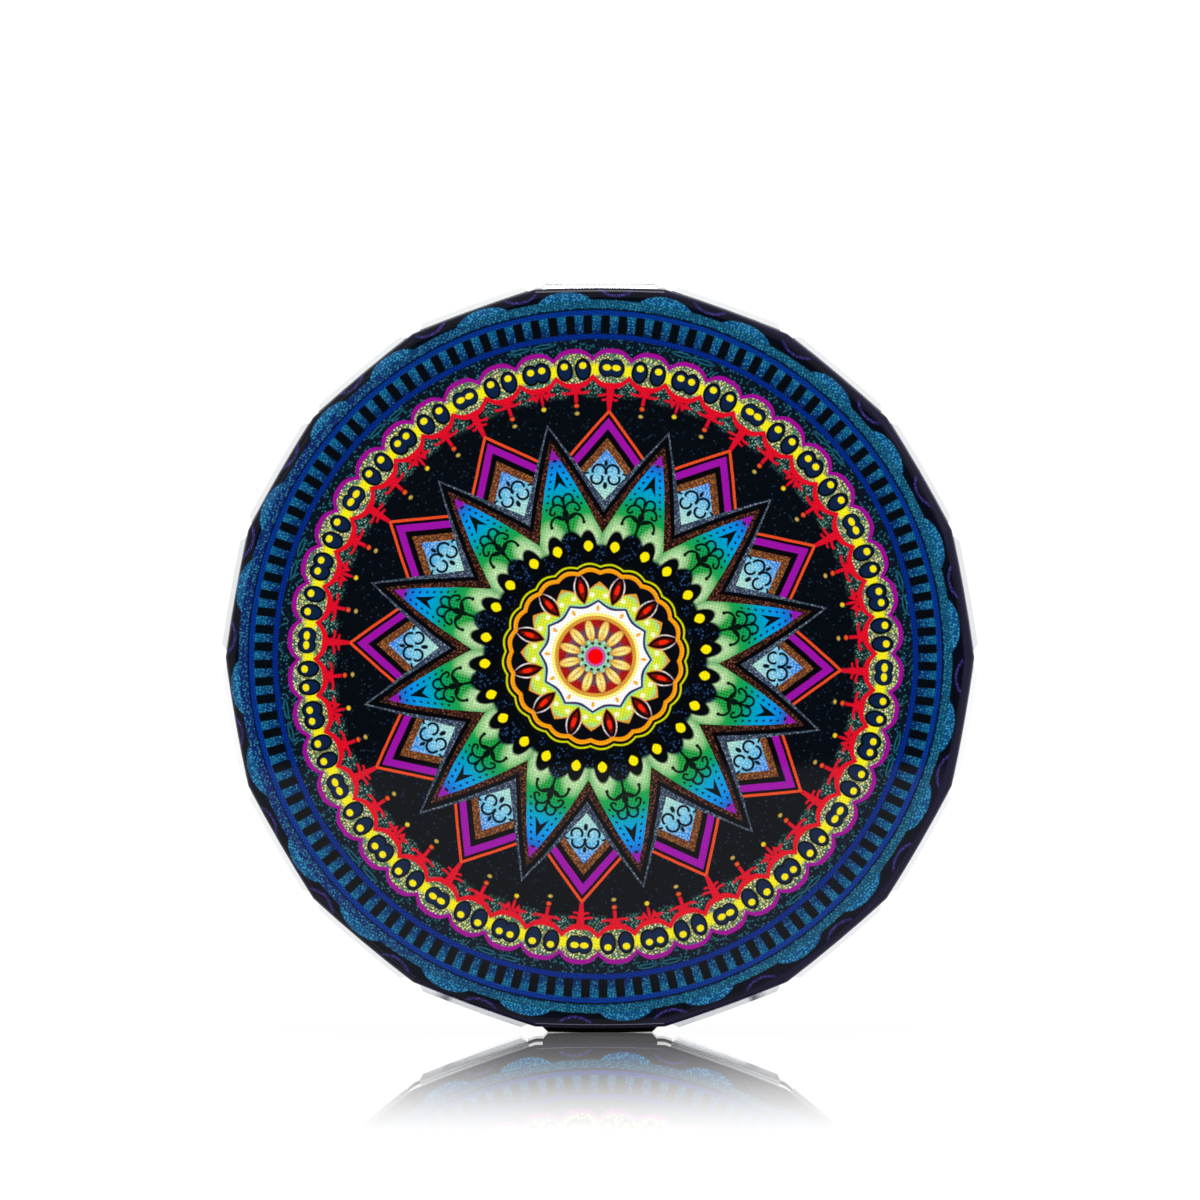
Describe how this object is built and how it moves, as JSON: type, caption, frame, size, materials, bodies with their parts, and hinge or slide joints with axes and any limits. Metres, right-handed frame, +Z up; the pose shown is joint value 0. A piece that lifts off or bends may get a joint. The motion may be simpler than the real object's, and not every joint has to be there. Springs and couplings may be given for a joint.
{
  "type": "compact mirror",
  "caption": "Pocket compact mirror: many-sided printed metal case with polished rim bars and a hinged lid, shut and standing on its rim.",
  "frame": {"origin": "under the middle of the case, on the surface that its lowest rim bar stands on", "axes": "+Z up through the hinge side, +X along the hinge pin, -Y out of the lid's face, +Y out of the back face"},
  "size_m": [0.062, 0.013, 0.0615],
  "materials": {
    "printed_sheet": "gloss varnished print",
    "black_plastic": "fine satin",
    "foam_pad": "matt foam",
    "mirror_glass": "silvered glass",
    "bezel_metal": "polished",
    "magnet_nickel": "nickel plated",
    "clear_silicone": "soft satin",
    "hinge_steel": "polished barrel",
    "rivet_steel": "satin",
    "girdle_metal": "satin",
    "polished_bar": "mirror polished",
    "pin_steel": "ground",
    "washer_bronze": "plain"
  },
  "bodies": {
    "base": {"back_cover": "printed_sheet", "base_frame": "black_plastic", "base_mirror_pad": "foam_pad", "base_mirror": "mirror_glass", "base_bezel": "bezel_metal", "base_magnets": "magnet_nickel", "base_hinge_leaf": "hinge_steel", "base_hinge_rivets": "rivet_steel", "girdle_ring": "girdle_metal", "rim_bars": "polished_bar", "hinge_pin": "pin_steel", "hinge_washers": "washer_bronze"},
    "lid": {"lid_cover": "printed_sheet", "lid_frame": "black_plastic", "lid_mirror_pad": "foam_pad", "lid_mirror": "mirror_glass", "lid_bezel": "bezel_metal", "lid_magnets": "magnet_nickel", "lid_bumpers": "clear_silicone", "lid_hinge_leaf": "hinge_steel", "lid_hinge_rivets": "rivet_steel"}
  },
  "joints": [
    {"name": "lid_hinge", "type": "hinge", "parent": "base", "child": "lid", "pos_m": [0, -0.00245, 0.0604], "axis": [-1, 0, 0], "range_deg": [0, 115]}
  ]
}
